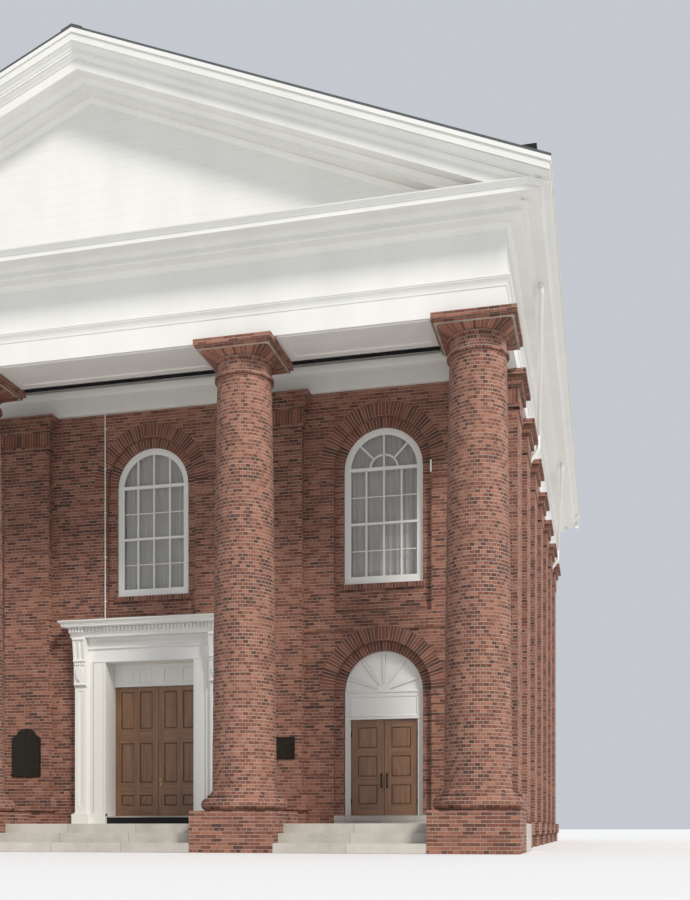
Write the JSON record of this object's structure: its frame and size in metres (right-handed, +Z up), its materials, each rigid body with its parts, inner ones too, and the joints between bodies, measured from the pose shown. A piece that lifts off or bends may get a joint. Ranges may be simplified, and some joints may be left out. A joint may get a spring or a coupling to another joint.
{
  "type": "church",
  "caption": "Brick church with a columned portico under a pediment, arched windows, a panelled double main door and side doors on a raised porch.",
  "frame": {"origin": "on the ground at the middle of the plan, eaves and cornices included", "axes": "+Z up, -Y the street front with the columns, +X the right-hand side seen from the street"},
  "size_m": [18.03, 22.28, 15.845],
  "materials": {
    "brick": "matte",
    "stone": "rough",
    "painted_wood": "satin paint",
    "door_wood": "satin varnish",
    "floor_wood": "satin",
    "slate": "matte",
    "glass": "clear",
    "pipe_paint": "satin"
  },
  "bodies": {
    "church": {"column_plinths": "brick", "column_bases": "brick", "column_shafts": "brick", "column_capitals": "brick", "front_wall_base": "brick", "front_wall_piers": "brick", "front_wall_arches": "brick", "front_wall_lintel": "brick", "front_wall_upper": "brick", "right_wall": "brick", "left_wall": "brick", "rear_wall": "brick", "front_pilasters": "brick", "rear_pilasters": "brick", "side_pilasters": "brick", "porch_floor": "stone", "front_steps": "stone", "door_thresholds": "stone", "porch_ceiling": "painted_wood", "porch_wall_band": "painted_wood", "entablature_front": "painted_wood", "entablature_rear": "painted_wood", "porch_side_beams": "painted_wood", "side_entablatures": "painted_wood", "gable_cornices": "painted_wood", "side_cornices": "painted_wood", "tympanums": "painted_wood", "raking_cornices": "painted_wood", "window_frames_upper": "painted_wood", "window_frames_lower": "painted_wood", "main_door_pilasters": "painted_wood", "main_door_head": "painted_wood", "main_door_frame": "painted_wood", "main_door_overpanel": "painted_wood", "side_door_jambs": "painted_wood", "side_door_heads": "painted_wood", "left_door_leaves": "door_wood", "ground_floor": "floor_wood", "upper_floor": "floor_wood", "hall_ceiling": "floor_wood", "roof_slope_right": "slate", "roof_slope_left": "slate", "roof_ridge_cap": "slate", "window_glass_upper": "glass", "window_glass_lower": "glass", "downspouts": "pipe_paint"},
    "main_leaf_left": {"main_door_leaf_left": "door_wood"},
    "main_leaf_right": {"main_door_leaf_right": "door_wood"},
    "right_leaf_left": {"right_door_leaf_left": "door_wood"},
    "right_leaf_right": {"right_door_leaf_right": "door_wood"}
  },
  "joints": [
    {"name": "main_left_hinge", "type": "hinge", "parent": "church", "child": "main_leaf_left", "pos_m": [-1.0487, -6.925, 0.748], "axis": [0, 0, 1], "range_deg": [0, 95]},
    {"name": "main_right_hinge", "type": "hinge", "parent": "church", "child": "main_leaf_right", "pos_m": [1.0487, -6.925, 0.748], "axis": [0, 0, -1], "range_deg": [0, 95]},
    {"name": "right_door_left_hinge", "type": "hinge", "parent": "church", "child": "right_leaf_left", "pos_m": [4.5763, -7.195, 0.748], "axis": [0, 0, -1], "range_deg": [0, 90]},
    {"name": "right_door_right_hinge", "type": "hinge", "parent": "church", "child": "right_leaf_right", "pos_m": [6.0237, -7.195, 0.748], "axis": [0, 0, 1], "range_deg": [0, 90]}
  ]
}
